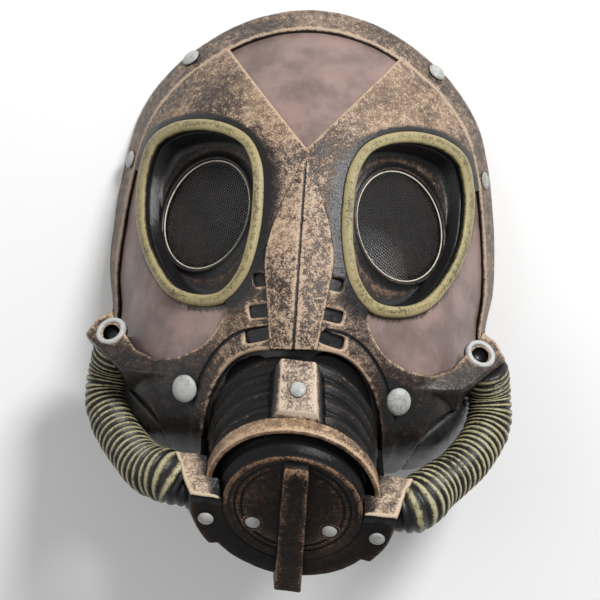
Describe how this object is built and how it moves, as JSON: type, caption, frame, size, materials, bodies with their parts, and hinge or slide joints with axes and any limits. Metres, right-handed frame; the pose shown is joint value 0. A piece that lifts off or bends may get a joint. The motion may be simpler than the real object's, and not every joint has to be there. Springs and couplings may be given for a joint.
{
  "type": "gas mask style costume mask",
  "caption": "Moulded latex costume mask shaped like an old gas mask, with framed goggle eyes, a round canister muzzle and corrugated hoses to the cheeks.",
  "frame": {"origin": "on the plane of the rim, under the middle of the whole mask", "axes": "+Z is the way the face looks, +Y points to the top of the head, and +X is the picture's right-hand side; the mask lies on its rim with its face up"},
  "size_m": [0.215, 0.2768, 0.1472],
  "materials": {
    "leather_look": "latex painted brown like worn leather, satin",
    "bronze_look": "black latex dry-brushed with bronze paint, satin",
    "dark_copper_look": "black latex dry-brushed with copper paint, satin",
    "brass_look": "latex painted like old brass, satin",
    "silver_look": "latex painted pale silver grey",
    "hose_look": "black latex with olive brass paint on the ribs",
    "black_latex": "black latex, half gloss",
    "eye_mesh": "fine dark wire mesh"
  },
  "bodies": {
    "root": {"mask_shell": "leather_look", "rim_band": "bronze_look", "face_plate": "bronze_look", "nose_ridge": "bronze_look", "eye_frame_right": "brass_look", "eye_frame_left": "brass_look", "eye_socket_right": "dark_copper_look", "eye_socket_left": "dark_copper_look", "mesh_ring_right": "silver_look", "mesh_ring_left": "silver_look", "eye_mesh_right": "eye_mesh", "eye_mesh_left": "eye_mesh", "cheek_wing_right": "dark_copper_look", "cheek_wing_left": "dark_copper_look", "eyelet_right": "silver_look", "eyelet_left": "silver_look", "jaw_pad_right": "black_latex", "jaw_pad_left": "black_latex", "hose_right": "hose_look", "hose_left": "hose_look", "muzzle_bellows": "black_latex", "muzzle_collar": "dark_copper_look", "canister": "dark_copper_look", "chin_guard": "dark_copper_look", "guard_ear_right": "dark_copper_look", "guard_ear_left": "dark_copper_look", "centre_bar": "dark_copper_look", "strap_block": "dark_copper_look", "cheek_rivet_right": "silver_look", "cheek_rivet_left": "silver_look", "top_rivet_right": "silver_look", "top_rivet_left": "silver_look", "side_rivet_right": "silver_look", "side_rivet_left": "silver_look", "strap_rivet": "silver_look", "disc_rivet_right": "silver_look", "disc_rivet_left": "silver_look", "ear_rivet_right": "silver_look", "ear_rivet_left": "silver_look"}
  },
  "joints": []
}
